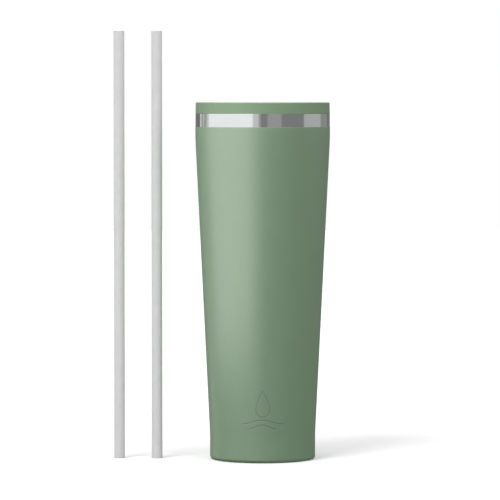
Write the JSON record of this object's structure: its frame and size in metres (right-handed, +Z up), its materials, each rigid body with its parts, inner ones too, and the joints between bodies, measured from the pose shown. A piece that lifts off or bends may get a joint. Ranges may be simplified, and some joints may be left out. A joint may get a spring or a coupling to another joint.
{
  "type": "insulated tumbler with lid",
  "caption": "Tall tapered double-walled vacuum tumbler with a satin green coat, bare steel band, press-in slider lid and loose frosted straws.",
  "frame": {"origin": "centre of the flat pad under the cup, on the surface that the tumbler stands on", "axes": "+Z up the cup's axis towards the lid, -Y to the front where the drinking opening is, +X to the right seen from the front"},
  "size_m": [0.1395, 0.0868, 0.276],
  "materials": {
    "powder_coat": "satin powder coat, sage green, fine orange peel",
    "steel": "polished stainless steel, turned grain round the axis",
    "lid_plastic": "satin moulded plastic, sage green",
    "silicone": "milky matt silicone",
    "base_pad": "matt dark rubber",
    "magnet": "nickel plated",
    "getter": "dark sintered powder",
    "glass_solder": "dark fused glass bead",
    "straw": "frosted translucent plastic"
  },
  "bodies": {
    "cup": {"outer_shell": "steel", "powder_coat": "powder_coat", "inner_liner": "steel", "base_plate": "steel", "vacuum_seal": "glass_solder", "getter_cup": "steel", "getter": "getter", "base_pad": "base_pad"},
    "lid": {"lid_body": "lid_plastic", "lid_gasket": "silicone", "magnet_cover": "lid_plastic", "lid_magnet_front": "magnet", "lid_magnet_rear": "magnet"},
    "slider": {"slider_cap": "lid_plastic", "slider_base": "lid_plastic", "slider_seal": "silicone", "slider_magnet_front": "magnet", "slider_magnet_rear": "magnet"},
    "straw_left": {"straw_left": "straw"},
    "straw_right": {"straw_right": "straw"}
  },
  "joints": [
    {"name": "lid_lift", "type": "slide", "parent": "cup", "child": "lid", "axis": [0, 0, 1], "range_m": [0, 0.08]},
    {"name": "slider_slide", "type": "slide", "parent": "lid", "child": "slider", "axis": [0, 1, 0], "range_m": [0, 0.014]},
    {"name": "straw_left_lift", "type": "slide", "parent": "cup", "child": "straw_left", "axis": [0, 0, 1], "range_m": [0, 0.1]},
    {"name": "straw_right_lift", "type": "slide", "parent": "cup", "child": "straw_right", "axis": [0, 0, 1], "range_m": [0, 0.1]}
  ]
}
